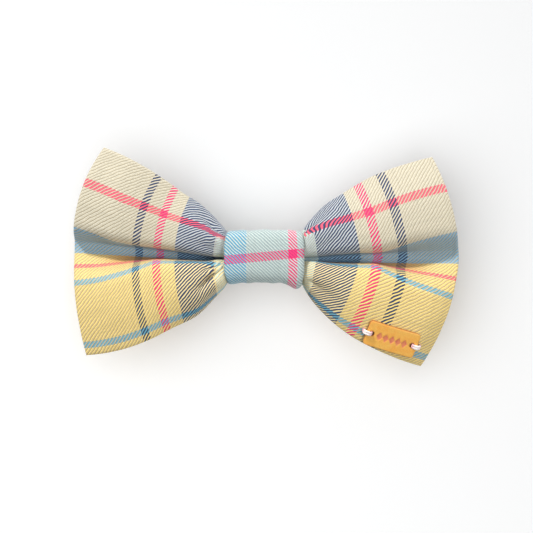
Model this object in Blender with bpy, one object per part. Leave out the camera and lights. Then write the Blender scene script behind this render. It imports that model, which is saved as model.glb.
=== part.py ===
"""Clip-on bow tie, modelled as separate pieces, in metres.

Frame: +X along the wings, +Z up as worn, and the front faces -Y. The origin is the middle of the
collar seat, the rear face of the clip's base plate, where the collar lies between plate and jaws.
The bow is two panels of cloth around an interfacing. They fold together into one front valley
between two lobes, and a cloth band pinches them in the middle.
"""
import math

import bmesh
import bpy
import numpy as np
from mathutils import Matrix, Vector

MM = 0.001
CLEARANCE = 0.3 * MM
MERGE_DISTANCE = 0.01 * MM
SMOOTH_ANGLE = math.radians(40)
ROUND_SIDES = 16
CORNER_STEPS = 4

# Bow cloth, flat: distances along the wing from the centre, and up the cloth from its stripe line.
CLOTH_HALF = 59.4 * MM
CLOTH_TOP = 37.6 * MM
CLOTH_BOTTOM = -34.0 * MM
VALLEY_V = 2.5 * MM
SEAM_INSET = 1.5 * MM
PANEL_THICKNESS = 0.4 * MM
INTERFACING_THICKNESS = 0.3 * MM
# Where the cloth is divided: lines along its edges, and columns and rows between them.
EDGE_LINES = 3
COLUMNS = [u * MM for u in (17, 22, 30, 39, 48)]
MIDDLE_ROWS = 29

# Knot.
KNOT_WIDTH = 24.7 * MM
KNOT_HEIGHT = 18.3 * MM
BAND_THICKNESS = 0.9 * MM
BAND_CORNER = 3.6 * MM
BAND_LAP_TOP = 4.0 * MM
BAND_LAP_SLOPE = 1.2 * MM
BAND_EDGE_FROM_CENTRE = -4.6 * MM
BAND_SEAM_MARGIN = 1.5 * MM
BAND_SEAM_STITCHES = 24
PINCH_U = 12.7 * MM
OPENING_LENGTH = 1.3 * MM
PINCH_HALF_HEIGHT = 6.3 * MM
BUNDLE_DEPTH = 8.2 * MM
GATHER_RADIUS = 0.25 * MM
GATHER_CORNER = 2.4 * MM
SEAM_STITCH = 0.9 * MM
GATHER_TURNS = 2
GATHER_PITCH = 1.1 * MM

# Wing outlines in mm. up and down: height at the knot, slope and bend. valley: height at the knot
# and at the end. end: reach at the valley, and how far the top and bottom corners fall short of it,
# which happens the more suddenly, the higher the end's powers.
WINGS = {
    -1: {
        "up": (9.6, 0.72, -0.0034), "down": (8.8, 0.74, -0.0059), "valley": (-0.3, 4.3),
        "end": (59.4, 9.6, 4.4),
    },
    1: {
        "up": (8.4, 0.77, -0.0056), "down": (9.0, 0.83, -0.0062), "valley": (-0.3, 1.0),
        "end": (60.5, 8.1, 11.5),
    },
}
TOP_END_POWER = 2.4
BOTTOM_END_POWER = 2.2
# Lobes: length of the valley flank at the knot and at the end, in mm, then fold angles in degrees.
UPPER_LOBE = {"flank": (12.5, 5.5), "steepest": 90.0, "crown": (34.0, 5.0), "far": 88.0, "settle": 0.28}
LOWER_LOBE = {"flank": (13.0, 8.0), "steepest": 88.0, "crown": (56.0, 4.0), "far": 72.0, "settle": 0.22}
END_FAR_ANGLE = 8.0
VALLEY_FLOOR = 3.8
FLANK_BLEND = 3.5
CLOTH_EASE = 0.975
CROWN_DECAY = 0.25
LEAST_RUN = 0.3
PROFILE_POINTS = 181
PROFILE_COLUMNS = 160
FOLD_HALVINGS = 24

# Leather tag, sewn to the right wing's lower lobe.
TAG_CENTRE = (39.9 * MM, -24.7 * MM)
TAG_LENGTH = 16.5 * MM
TAG_HEIGHT = 8.4 * MM
TAG_THICKNESS = 1.0 * MM
TAG_CORNER = 1.1 * MM
TAG_SLOPE = math.radians(-19.5)
TAG_HOLE_X = 6.6 * MM
TAG_HOLE_RADIUS = 0.85 * MM
TAG_THREAD_RADIUS = 0.5 * MM
TAG_THREAD_BEND = 0.7 * MM
TAG_THREAD_LIFT = 0.1 * MM
TAG_SURROUND = 1.25
FRONT_FACING = -0.4

# Double clip behind the knot.
PLATE_HALF_LENGTH = 13.6 * MM
PLATE_HALF_HEIGHT = 6.6 * MM
PLATE_THICKNESS = 0.8 * MM
PLATE_CORNER = 2.0 * MM
PIN_X = 5.0 * MM
PIN_Y = 1.6 * MM
PIN_RADIUS = 0.5 * MM
PIN_HEAD_RADIUS = 0.85 * MM
PIN_HEAD_LENGTH = 0.4 * MM
PIN_CLEARANCE = 0.08 * MM
PIN_SIDES = 14
EAR_INNER_Z = 4.5 * MM
EAR_THICKNESS = 0.8 * MM
EAR_RADIUS = 1.1 * MM
JAW_HALF_HEIGHT = 4.2 * MM
JAW_THICKNESS = 0.6 * MM
JAW_UNDERSIDE_Y = 2.9 * MM
JAW_TAIL_X = 1.2 * MM
JAW_TIP_X = 13.4 * MM
JAW_TEETH = 6
TOOTH_DEPTH = 0.8 * MM
TOOTH_MARGIN = 0.1 * MM
TIP_INSET = 0.05 * MM
TIP_THICKNESS = 0.7 * MM
LUG_RADIUS = 1.0 * MM
LUG_THICKNESS = 1.0 * MM
SPRING_RADIUS = 0.8 * MM
SPRING_WIRE = 0.17 * MM
SPRING_TURNS = 4
SPRING_PITCH = 0.62 * MM
SPRING_SIDES = 12
SPRING_LEG = 2.4 * MM
SEWING_X = 10.4 * MM
SEWING_Z = 5.2 * MM
SEWING_HOLE_RADIUS = 0.6 * MM
SEWING_HOLE_SIDES = 12
STITCH_RADIUS = 0.25 * MM
STITCH_BEND = 0.35 * MM
STITCH_LIFT = 0.12 * MM
THREAD_FOOT = 0.1 * MM

BAND_BACK_Y = -(PLATE_THICKNESS + CLEARANCE)
BAND_HALF_DEPTH = BUNDLE_DEPTH / 2 + 2 * (CLEARANCE + GATHER_RADIUS) + BAND_THICKNESS
BAND_STEP = BAND_THICKNESS + CLEARANCE
CENTRE_Y = BAND_BACK_Y - BAND_STEP - BAND_HALF_DEPTH

COLOURS = {
    "shirting": ((0.80, 0.70, 0.42), 0.85, 0.0),
    "knot_cloth": ((0.50, 0.68, 0.70), 0.85, 0.0),
    "interfacing": ((0.85, 0.85, 0.82), 0.9, 0.0),
    "thread": ((0.90, 0.88, 0.80), 0.8, 0.0),
    "tag_thread": ((0.90, 0.72, 0.74), 0.7, 0.0),
    "leather": ((0.90, 0.42, 0.12), 0.6, 0.0),
    "nickel": ((0.75, 0.75, 0.74), 0.3, 1.0),
    "spring_steel": ((0.45, 0.46, 0.48), 0.35, 1.0),
}


def clear_scene():
    for thing in list(bpy.data.objects):
        bpy.data.objects.remove(thing, do_unlink=True)


def material(slot, node):
    colour, roughness, metallic = COLOURS[slot]
    made = bpy.data.materials.new(f"{node}_{slot}")
    made.use_nodes = True
    shader = made.node_tree.nodes["Principled BSDF"]
    shader.inputs["Base Color"].default_value = (*colour, 1.0)
    shader.inputs["Roughness"].default_value = roughness
    shader.inputs["Metallic"].default_value = metallic
    return made


def add_object(name, data, slot=None, parent=None, at=(0, 0, 0)):
    made = bpy.data.objects.new(name, data)
    bpy.context.scene.collection.objects.link(made)
    made.location = at
    made.parent = parent
    if slot:
        made.data.materials.append(material(slot, name))
    return made


def mesh_from(name, vertices, faces, smooth=False):
    mesh = bpy.data.meshes.new(name)
    mesh.from_pydata([tuple(v) for v in vertices], [], faces)
    work = bmesh.new()
    work.from_mesh(mesh)
    bmesh.ops.recalc_face_normals(work, faces=work.faces)
    work.to_mesh(mesh)
    work.free()
    if smooth:
        mesh.shade_smooth()
        mesh.set_sharp_from_angle(angle=SMOOTH_ANGLE)
    return mesh


def tube(name, points, radius, slot, bevels=2, cyclic=False, at=(0, 0, 0)):
    """A round thread or wire along points; bevels is the curve's bevel resolution."""
    curve = bpy.data.curves.new(name, "CURVE")
    curve.dimensions = "3D"
    curve.bevel_depth = radius
    curve.bevel_resolution = bevels
    curve.use_fill_caps = not cyclic
    spline = curve.splines.new("POLY")
    spline.points.add(len(points) - 1)
    for target, point in zip(spline.points, points):
        target.co = (*point, 1.0)
    spline.use_cyclic_u = cyclic
    return add_object(name, curve, slot, at=at)


def prism(name, outline, low, high, axis, slot=None, parent=None):
    """An outline in the two other axes, in X, Y, Z order, extruded along axis from low to high."""
    vertices = []
    for level in (low, high):
        for point in outline:
            place = list(point)
            place.insert(axis, level)
            vertices.append(place)
    count = len(outline)
    faces = [list(range(count)), list(range(2 * count - 1, count - 1, -1))]
    faces += [[i, (i + 1) % count, (i + 1) % count + count, i + count] for i in range(count)]
    return add_object(name, mesh_from(name, vertices, faces), slot, parent)


def arc(centre, radius, start, end, steps):
    """Points on an arc, with angles in degrees."""
    angles = [math.radians(start + (end - start) * i / steps) for i in range(steps + 1)]
    return [(centre[0] + radius * math.cos(a), centre[1] + radius * math.sin(a)) for a in angles]


def circle(centre, radius, sides=ROUND_SIDES):
    return arc(centre, radius, 0, 360 * (sides - 1) / sides, sides - 1)


def rounded_rectangle(half_width, half_height, radius):
    points = []
    for quarter, (side, level) in enumerate(((1, 1), (-1, 1), (-1, -1), (1, -1))):
        centre = (side * (half_width - radius), level * (half_height - radius))
        points += arc(centre, radius, 90 * quarter, 90 * quarter + 90, CORNER_STEPS)
    return points


def cut_or_join(target, tool, operation):
    tool.hide_render = True
    tool.display_type = "WIRE"
    step = target.modifiers.new(tool.name, "BOOLEAN")
    step.operation = operation
    step.object = tool
    step.solver = "EXACT"


def smoothstep(value):
    held = np.clip(value, 0.0, 1.0)
    return held * held * (3.0 - 2.0 * held)


# Bow cloth

def fold_angles(distance, length, t, lobe, near):
    """How far the cloth turns from the vertical, in degrees, at distances from the valley."""
    flank = lobe["flank"][0] + (lobe["flank"][1] - lobe["flank"][0]) * t
    past_flank = smoothstep((distance - flank + FLANK_BLEND) / (2 * FLANK_BLEND))
    along_face = np.clip((distance - flank) / (length - flank), 0.0, 1.0)
    tight, loose = lobe["crown"]
    crown = loose + (tight - loose) * math.exp(-t / CROWN_DECAY)
    far = END_FAR_ANGLE + (lobe["far"] - END_FAR_ANGLE) * math.exp(-t / lobe["settle"])
    rising = near * smoothstep(distance / VALLEY_FLOOR) * (1 - past_flank)
    return rising + crown * (1 - 2 * along_face) * past_flank - far * smoothstep(along_face)


def lobe_profile(length, height, t, lobe):
    """One lobe's section: distances up the cloth with their rise and forward reach, in mm.

    The fold closes until the lobe is as tall as wanted. Where the steepest fold is still too tall,
    small gathers take up the rest of the cloth."""
    distance = np.linspace(0.0, length, PROFILE_POINTS)
    step = distance[1]

    def run(near, ease):
        angle = np.radians(fold_angles(distance, length, t, lobe, near))
        rise = np.cumsum(np.cos(angle)) - math.cos(angle[0])
        reach = np.cumsum(np.sin(angle)) - math.sin(angle[0])
        return rise * step * ease, reach * step * ease

    tallest = run(lobe["steepest"], CLOTH_EASE)[0].max()
    if tallest > height:
        return distance, *run(lobe["steepest"], CLOTH_EASE * height / tallest)
    low, high = 0.0, lobe["steepest"]
    for _ in range(FOLD_HALVINGS):
        middle = (low + high) / 2
        if run(middle, CLOTH_EASE)[0].max() > height:
            low = middle
        else:
            high = middle
    return distance, *run(high, CLOTH_EASE)


def wing_section(side, u, v):
    """Heights and depths, in mm, of the cloth at heights v at a distance u along one wing."""
    wing = WINGS[side]
    knot = KNOT_WIDTH / 2 / MM
    pinch = PINCH_U / MM
    t = (u - pinch) / (CLOTH_HALF / MM - pinch)
    s = u - knot
    valley = wing["valley"][0] + (wing["valley"][1] - wing["valley"][0]) * t
    pinched = PINCH_HALF_HEIGHT / MM
    opened = smoothstep((u - pinch) / (OPENING_LENGTH / MM))
    heights = []
    for key in ("up", "down"):
        start, slope, bend = wing[key]
        height = start + slope * s + bend * s * s
        heights.append(pinched + (height - pinched) * opened)
    floor = VALLEY_V / MM
    up = lobe_profile(CLOTH_TOP / MM - floor, heights[0] - valley, t, UPPER_LOBE)
    down = lobe_profile(floor - CLOTH_BOTTOM / MM, heights[1] + valley, t, LOWER_LOBE)
    above = v >= floor
    rise = np.where(above, np.interp(v - floor, up[0], up[1]), -np.interp(floor - v, down[0], down[1]))
    reach = np.where(above, np.interp(v - floor, up[0], up[2]), np.interp(floor - v, down[0], down[2]))
    return valley + rise, (reach.min() + reach.max()) / 2 - reach


def wing_surface(side, columns, rows):
    """Points of one wing's middle surface, for distances along it and heights up the cloth.

    Steep threads use up their length in height and depth, so they run out less far to the side.
    They are then drawn to the wing's curved end."""
    pinch = PINCH_U / MM
    fine = np.linspace(pinch, CLOTH_HALF / MM, PROFILE_COLUMNS)
    v = np.array(rows) / MM
    sections = [wing_section(side, u, v) for u in fine]
    z = np.array([section[0] for section in sections])
    y = np.array([section[1] for section in sections])
    step = fine[1] - fine[0]
    across = step ** 2 - np.diff(z, axis=0) ** 2 - np.diff(y, axis=0) ** 2
    run = np.sqrt(np.maximum(across, (LEAST_RUN * step) ** 2))
    x = np.vstack([np.zeros(len(v)), np.cumsum(run, axis=0)])
    reach, short_top, short_bottom = WINGS[side]["end"]
    floor = VALLEY_V / MM
    high = np.clip((v - floor) / (CLOTH_TOP / MM - floor), 0.0, 1.0)
    low = np.clip((floor - v) / (floor - CLOTH_BOTTOM / MM), 0.0, 1.0)
    end = reach - short_top * high ** TOP_END_POWER - short_bottom * low ** BOTTOM_END_POWER
    x = pinch + x / x[-1] * (end - pinch)
    surface = []
    for u in columns:
        line = []
        for j in range(len(v)):
            place = [np.interp(u / MM, fine, grid[:, j]) for grid in (x, y, z)]
            line.append(Vector((side * place[0] * MM, place[1] * MM + CENTRE_Y, place[2] * MM)))
        surface.append(line)
    return surface


def bow_grid():
    """The whole bow's middle surface: columns from left to right, rows from bottom to top."""
    ends = [CLOTH_HALF - SEAM_INSET * i for i in range(EDGE_LINES)]
    columns = [PINCH_U, PINCH_U + OPENING_LENGTH] + COLUMNS + ends[::-1]
    low = [CLOTH_BOTTOM + SEAM_INSET * i for i in range(EDGE_LINES)]
    high = [CLOTH_TOP - SEAM_INSET * i for i in range(EDGE_LINES)]
    between = list(np.linspace(low[-1], high[-1], MIDDLE_ROWS + 2))[1:-1]
    rows = low + between + high[::-1]
    left = wing_surface(-1, columns, rows)
    right = wing_surface(1, columns, rows)
    return left[::-1] + right


def grid_normals(grid):
    normals = []
    for i, line in enumerate(grid):
        row = []
        for j, _ in enumerate(line):
            along = grid[min(i + 1, len(grid) - 1)][j] - grid[max(i - 1, 0)][j]
            up = line[min(j + 1, len(line) - 1)] - line[max(j - 1, 0)]
            row.append(along.cross(up).normalized())
        normals.append(row)
    return normals


def cloth_layer(name, grid, normals, near, far, slot):
    """A closed sheet between two distances in front of the middle surface."""
    wide = len(grid)
    tall = len(grid[0])
    vertices = []
    for distance in (near, far):
        for line, facing in zip(grid, normals):
            vertices += [point + normal * distance for point, normal in zip(line, facing)]
    layer = wide * tall
    faces = []
    for i in range(wide - 1):
        for j in range(tall - 1):
            a, b = i * tall + j, (i + 1) * tall + j
            for triangle in ([a, b, b + 1], [a, b + 1, a + 1]):
                faces.append(triangle)
                faces.append([corner + layer for corner in reversed(triangle)])
    rim = [i * tall for i in range(wide)] + [(wide - 1) * tall + j for j in range(1, tall)]
    rim += [i * tall + tall - 1 for i in range(wide - 2, -1, -1)] + list(range(tall - 2, 0, -1))
    for start, end in zip(rim, rim[1:] + rim[:1]):
        faces.append([start, end, end + layer, start + layer])
    return add_object(name, mesh_from(name, vertices, faces, smooth=True), slot)


def build_bow(grid, normals):
    inner = INTERFACING_THICKNESS / 2 + CLEARANCE
    outer = inner + PANEL_THICKNESS
    cloth_layer("front_panel", grid, normals, inner, outer, "shirting")
    cloth_layer("back_panel", grid, normals, -outer, -inner, "shirting")
    small = [line[2:-2] for line in grid[2:-2]]
    small_normals = [line[2:-2] for line in normals[2:-2]]
    half = INTERFACING_THICKNESS / 2
    cloth_layer("interfacing", small, small_normals, -half, half, "interfacing")
    seam = [line[1] for line in grid[1:-1]] + grid[-2][2:-1]
    seam += [line[-2] for line in grid[-3:0:-1]] + grid[1][-3:1:-1]
    tube("edge_seam_thread", seam, INTERFACING_THICKNESS / 2, "thread", bevels=0, cyclic=True)


# Knot

def rounded_path(corners, radius, steps=5):
    """A path through corner points, with a round bend of the same radius at each inner corner."""
    path = [corners[0]]
    for before, corner, after in zip(corners, corners[1:], corners[2:]):
        into = (Vector(corner) - Vector(before)).normalized()
        out = (Vector(after) - Vector(corner)).normalized()
        turn = into.angle(out)
        reach = radius * math.tan(turn / 2)
        start = Vector(corner) - into * reach
        end = Vector(corner) + out * reach
        for i in range(steps + 1):
            share = i / steps
            bend = start.lerp(Vector(corner), share).lerp(Vector(corner).lerp(end, share), share)
            path.append(tuple(bend))
    return path + [corners[-1]]


def build_band():
    """A strip of cloth round the bow, with its outer end lapped over its inner end at the back."""
    back = BAND_HALF_DEPTH - BAND_THICKNESS / 2
    top = KNOT_HEIGHT / 2 - BAND_THICKNESS / 2
    lap = BAND_LAP_TOP
    outer = back + BAND_STEP
    corners = [(back, lap / 2), (back, -top), (-back, -top), (-back, top), (back, top), (back, lap)]
    path = rounded_path(corners, BAND_CORNER)[:-1]
    path += [(back + BAND_STEP / 2, lap), (outer, lap - BAND_LAP_SLOPE), (outer, BAND_EDGE_FROM_CENTRE)]
    vertices = []
    half = KNOT_WIDTH / 2
    for i, point in enumerate(path):
        before = Vector(path[max(i - 1, 0)])
        after = Vector(path[min(i + 1, len(path) - 1)])
        along = (after - before).normalized()
        across = Vector((along.y, -along.x)) * BAND_THICKNESS / 2
        for x in (-half, half):
            for way in (-1, 1):
                spot = Vector(point) + across * way
                vertices.append((x, spot.x + CENTRE_Y, spot.y))
    faces = [[0, 1, 3, 2]]
    for i in range(len(path) - 1):
        a = 4 * i
        for first, second in ((0, 1), (1, 3), (3, 2), (2, 0)):
            faces.append([a + first, a + second, a + second + 4, a + first + 4])
    last = 4 * (len(path) - 1)
    faces.append([last, last + 2, last + 3, last + 1])
    add_object("knot_band", mesh_from("knot_band", vertices, faces, smooth=True), "knot_cloth")


def build_band_seam():
    """One thread sewn to and fro along the band's lapped edge, below the lap."""
    y = BAND_BACK_Y - BAND_STEP + CLEARANCE + STITCH_RADIUS
    top = BAND_EDGE_FROM_CENTRE - CLEARANCE - STITCH_RADIUS
    width = KNOT_WIDTH - 2 * BAND_SEAM_MARGIN
    points = []
    for i in range(BAND_SEAM_STITCHES + 1):
        x = width * (i / BAND_SEAM_STITCHES - 0.5)
        points.append((x, y, top - (SEAM_STITCH if i % 2 else 0)))
    tube("band_seam_thread", points, STITCH_RADIUS, "thread", bevels=1)


def build_gathering_thread():
    """Thread wound round the pinched cloth, under the band."""
    half_depth = BUNDLE_DEPTH / 2 + CLEARANCE + GATHER_RADIUS
    half_height = KNOT_HEIGHT / 2 - BAND_THICKNESS - CLEARANCE - GATHER_RADIUS
    ring = rounded_rectangle(half_depth, half_height, GATHER_CORNER)
    total = GATHER_TURNS * len(ring)
    points = []
    for i in range(total + 1):
        y, z = ring[i % len(ring)]
        x = GATHER_PITCH * (i / len(ring) - GATHER_TURNS / 2)
        points.append((x, y + CENTRE_Y, z))
    tube("gathering_thread", points, GATHER_RADIUS, "thread", bevels=1)


# Leather tag

def tag_frame(grid, normals):
    """The tag's placing: on the cloth at its centre, raised clear of everything under it."""
    wanted = Vector((TAG_CENTRE[0], TAG_CENTRE[1]))
    outer = INTERFACING_THICKNESS / 2 + CLEARANCE + PANEL_THICKNESS
    spots = []
    for line, facing in zip(grid[len(grid) // 2:], normals[len(grid) // 2:]):
        for point, normal in zip(line, facing):
            if point.z < 0 and normal.y < FRONT_FACING:
                spots.append((point + normal * outer, normal))
    close = sorted(spots, key=lambda spot: (Vector((spot[0].x, spot[0].z)) - wanted).length)[:4]
    normal = sum((spot[1] for spot in close), Vector()).normalized()
    along = Vector((math.cos(TAG_SLOPE), 0, math.sin(TAG_SLOPE)))
    along = (along - normal * along.dot(normal)).normalized()
    up = normal.cross(along)
    near = close[0][0]
    aside = wanted - Vector((near.x, near.z))
    depth = near.y - (aside.x * normal.x + aside.y * normal.z) / normal.y
    centre = Vector((TAG_CENTRE[0], depth, TAG_CENTRE[1]))
    half_length = TAG_SURROUND * TAG_LENGTH / 2
    half_height = TAG_SURROUND * TAG_HEIGHT / 2
    under = []
    for place, _ in spots:
        gap = place - centre
        if abs(gap.dot(along)) < half_length and abs(gap.dot(up)) < half_height:
            under.append(gap.dot(normal))
    centre += normal * (max(under) + CLEARANCE + TAG_THICKNESS / 2)
    # The mesh's own axes: X along the tag, Y into the cloth, Z up the tag.
    turned = Matrix((along, -normal, up)).transposed().to_4x4()
    return Matrix.Translation(centre) @ turned


def build_tag(grid, normals):
    frame = tag_frame(grid, normals)
    outline = rounded_rectangle(TAG_LENGTH / 2, TAG_HEIGHT / 2, TAG_CORNER)
    tag = prism("leather_tag", outline, -TAG_THICKNESS / 2, TAG_THICKNESS / 2, 1, "leather")
    tag.matrix_world = frame
    for side, word in ((-1, "left"), (1, "right")):
        hole = circle((side * TAG_HOLE_X, 0), TAG_HOLE_RADIUS)
        cutter = prism(f"tag_hole_{word}", hole, -TAG_THICKNESS, TAG_THICKNESS, 1)
        cutter.matrix_world = frame
        cut_or_join(tag, cutter, "DIFFERENCE")
        over = TAG_THICKNESS / 2 + TAG_THREAD_RADIUS + TAG_THREAD_LIFT
        far = TAG_LENGTH / 2 + TAG_THREAD_RADIUS + CLEARANCE
        foot = TAG_THICKNESS / 2 - THREAD_FOOT
        route = [(TAG_HOLE_X, foot), (TAG_HOLE_X, -over), (far, -over), (far, foot)]
        points = [(side * x, y, 0) for x, y in rounded_path(route, TAG_THREAD_BEND, steps=3)]
        thread = tube(f"tag_thread_{word}", points, TAG_THREAD_RADIUS, "tag_thread")
        thread.matrix_world = frame


# Clip

def build_plate():
    outline = rounded_rectangle(PLATE_HALF_LENGTH, PLATE_HALF_HEIGHT, PLATE_CORNER)
    plate = prism("clip_base_plate", outline, -PLATE_THICKNESS, 0, 1, "nickel")
    for side in (-1, 1):
        for level in (-1, 1):
            word = f"{'left' if side < 0 else 'right'}_{'low' if level < 0 else 'high'}"
            ear = [(side * PIN_X + EAR_RADIUS, -PLATE_THICKNESS / 2)]
            ear += arc((side * PIN_X, PIN_Y), EAR_RADIUS, 0, 180, ROUND_SIDES // 2)
            ear += [(side * PIN_X - EAR_RADIUS, -PLATE_THICKNESS / 2)]
            inner = level * EAR_INNER_Z
            outer = level * (EAR_INNER_Z + EAR_THICKNESS)
            cut_or_join(plate, prism(f"ear_{word}", ear, inner, outer, 2), "UNION")
            hole = circle((side * SEWING_X, level * SEWING_Z), SEWING_HOLE_RADIUS, SEWING_HOLE_SIDES)
            cutter = prism(f"sewing_hole_{word}", hole, -2 * PLATE_THICKNESS, PLATE_THICKNESS, 1)
            cut_or_join(plate, cutter, "DIFFERENCE")
            build_stitch(side, level, word)
        bore = circle((side * PIN_X, PIN_Y), PIN_RADIUS + PIN_CLEARANCE)
        reach = EAR_INNER_Z + 2 * EAR_THICKNESS
        cutter = prism(f"ear_bore_{side + 1}", bore, -reach, reach, 2)
        cut_or_join(plate, cutter, "DIFFERENCE")


def build_stitch(side, level, word):
    """A loop of thread from a sewing hole, over the plate's rear face and round its edge."""
    x = side * SEWING_X
    hole = SEWING_Z
    edge = PLATE_HALF_HEIGHT + STITCH_RADIUS + CLEARANCE
    over = STITCH_RADIUS + STITCH_LIFT
    foot = -PLATE_THICKNESS + THREAD_FOOT
    route = [(foot, hole), (over, hole), (over, edge), (foot, edge)]
    path = rounded_path(route, STITCH_BEND, steps=3)
    points = [(x, y, level * z) for y, z in path]
    tube(f"clip_stitch_{word}", points, STITCH_RADIUS, "thread", bevels=1)


def build_jaw(side, word):
    """One clip jaw with its pin and spring. Its empty stands on the hinge axis."""
    pivot = add_object(f"{word}_jaw_axis", None, at=(side * PIN_X, PIN_Y, 0))
    under = JAW_UNDERSIDE_Y - PIN_Y
    top = under + JAW_THICKNESS
    tail = side * (JAW_TAIL_X - PIN_X)
    tip = side * (JAW_TIP_X - PIN_X)
    name = f"clip_jaw_{word}"
    plate = [(tail, under), (tip, under), (tip, top), (tail, top)]
    jaw = prism(name, plate, -JAW_HALF_HEIGHT, JAW_HALF_HEIGHT, 2, "nickel", pivot)
    inside = under + JAW_THICKNESS / 2
    for level in (-1, 1):
        outer = level * JAW_HALF_HEIGHT
        inner = level * (JAW_HALF_HEIGHT - LUG_THICKNESS)
        lug = arc((0, 0), LUG_RADIUS, 180, 360, ROUND_SIDES // 2)
        lug += [(LUG_RADIUS, inside), (-LUG_RADIUS, inside)]
        cut_or_join(jaw, prism(f"{name}_lug_{level + 1}", lug, inner, outer, 2, parent=pivot), "UNION")
    root_y = -PIN_Y + CLEARANCE + TOOTH_DEPTH
    half_row = JAW_HALF_HEIGHT - TOOTH_MARGIN
    teeth = [(inside, -half_row), (inside, half_row)]
    for i in range(2 * JAW_TEETH + 1):
        level = root_y if i % 2 == 0 else root_y - TOOTH_DEPTH
        share = 1 - i / JAW_TEETH
        teeth.append((level, share * half_row))
    outer_x = tip - side * TIP_INSET
    bend = prism(f"{name}_tip", teeth, outer_x, outer_x - side * TIP_THICKNESS, 0, parent=pivot)
    cut_or_join(jaw, bend, "UNION")
    bore = circle((0, 0), PIN_RADIUS + PIN_CLEARANCE)
    reach = 2 * JAW_HALF_HEIGHT
    cut_or_join(jaw, prism(f"{name}_bore", bore, -reach, reach, 2, parent=pivot), "DIFFERENCE")
    build_pin(side, word)
    build_spring(side, word)


def build_pin(side, word):
    """A riveted hinge pin with a head at each end, turned about its own axis."""
    head = EAR_INNER_Z + EAR_THICKNESS + PIN_CLEARANCE
    end = head + PIN_HEAD_LENGTH
    profile = [(0, end), (PIN_HEAD_RADIUS, end), (PIN_HEAD_RADIUS, head), (PIN_RADIUS, head)]
    profile += [(radius, -z) for radius, z in reversed(profile)]
    work = bmesh.new()
    corners = [work.verts.new((radius, 0, z)) for radius, z in profile]
    edges = [work.edges.new(pair) for pair in zip(corners, corners[1:])]
    bmesh.ops.spin(
        work, geom=corners + edges, cent=(0, 0, 0), axis=(0, 0, 1), angle=math.tau,
        steps=PIN_SIDES, use_merge=True,
    )
    bmesh.ops.remove_doubles(work, verts=work.verts, dist=MERGE_DISTANCE)
    bmesh.ops.recalc_face_normals(work, faces=work.faces)
    mesh = bpy.data.meshes.new(f"hinge_pin_{word}")
    work.to_mesh(mesh)
    work.free()
    mesh.shade_smooth()
    mesh.set_sharp_from_angle(angle=SMOOTH_ANGLE)
    add_object(f"hinge_pin_{word}", mesh, "nickel", at=(side * PIN_X, PIN_Y, 0))


def build_spring(side, word):
    """A torsion spring round the pin: one leg on the plate, the other under the jaw's tail."""
    total = SPRING_TURNS * SPRING_SIDES + SPRING_SIDES // 2
    centre = total / 2
    coil = []
    for i in range(total + 1):
        angle = math.tau * i / SPRING_SIDES - math.pi / 2
        z = SPRING_PITCH * (i - centre) / SPRING_SIDES
        coil.append((side * SPRING_RADIUS * math.cos(angle), SPRING_RADIUS * math.sin(angle), z))
    start = (-side * SPRING_LEG, coil[0][1], coil[0][2])
    end = (-side * SPRING_LEG, coil[-1][1], coil[-1][2])
    wire = [start] + coil + [end]
    axis = (side * PIN_X, PIN_Y, 0)
    tube(f"jaw_spring_{word}", wire, SPRING_WIRE, "spring_steel", bevels=1, at=axis)


def main():
    clear_scene()
    grid = bow_grid()
    normals = grid_normals(grid)
    build_bow(grid, normals)
    build_gathering_thread()
    build_band()
    build_band_seam()
    build_tag(grid, normals)
    build_plate()
    build_jaw(-1, "left")
    build_jaw(1, "right")


main()
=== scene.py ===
import math

import bmesh
import bpy
import numpy as np
from mathutils import Matrix, Vector


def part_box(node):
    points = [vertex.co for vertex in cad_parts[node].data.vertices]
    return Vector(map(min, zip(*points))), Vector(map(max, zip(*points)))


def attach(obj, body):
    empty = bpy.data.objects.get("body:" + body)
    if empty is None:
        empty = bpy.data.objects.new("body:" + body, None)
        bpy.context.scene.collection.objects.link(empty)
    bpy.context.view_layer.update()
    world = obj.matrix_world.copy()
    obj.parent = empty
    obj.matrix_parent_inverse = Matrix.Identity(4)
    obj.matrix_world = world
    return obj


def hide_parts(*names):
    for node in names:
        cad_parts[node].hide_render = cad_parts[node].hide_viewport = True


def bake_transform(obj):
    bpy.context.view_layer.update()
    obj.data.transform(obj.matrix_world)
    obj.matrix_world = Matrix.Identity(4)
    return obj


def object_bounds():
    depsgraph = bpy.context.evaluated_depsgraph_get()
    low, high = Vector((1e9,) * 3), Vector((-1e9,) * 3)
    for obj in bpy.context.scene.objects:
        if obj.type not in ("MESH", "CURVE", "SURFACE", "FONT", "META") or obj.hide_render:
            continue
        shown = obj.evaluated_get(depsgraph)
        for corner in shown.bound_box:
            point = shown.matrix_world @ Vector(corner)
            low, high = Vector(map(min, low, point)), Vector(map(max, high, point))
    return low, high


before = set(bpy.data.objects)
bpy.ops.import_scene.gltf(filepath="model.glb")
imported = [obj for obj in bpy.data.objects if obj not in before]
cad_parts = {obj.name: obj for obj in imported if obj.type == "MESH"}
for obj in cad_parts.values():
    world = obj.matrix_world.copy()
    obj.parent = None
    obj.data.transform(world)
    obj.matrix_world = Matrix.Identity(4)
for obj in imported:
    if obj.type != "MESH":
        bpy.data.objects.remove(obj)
CAD_LOW, CAD_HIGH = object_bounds()

MM = 0.001
BODY = "bow"

# Bow cloth, flat, in mm: along the wing from the centre, and up the cloth from its stripe line.
CLOTH_HALF = 59.4
CLOTH_TOP = 37.6
CLOTH_BOTTOM = -34.0
VALLEY_V = 2.5
CLOTH_EASE = 0.975
SANDWICH_HALF = 0.5
SEAM_INSET = 1.5
CLOTH_THICKNESS = 0.3

# The pinched middle, in mm, and where the cloth opens out of it.
PINCH_U = 9.6
OPEN_U = 13.2
PINCH_UP = 6.6
PINCH_DOWN = 5.5
LEAST_RUN = 0.82

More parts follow.
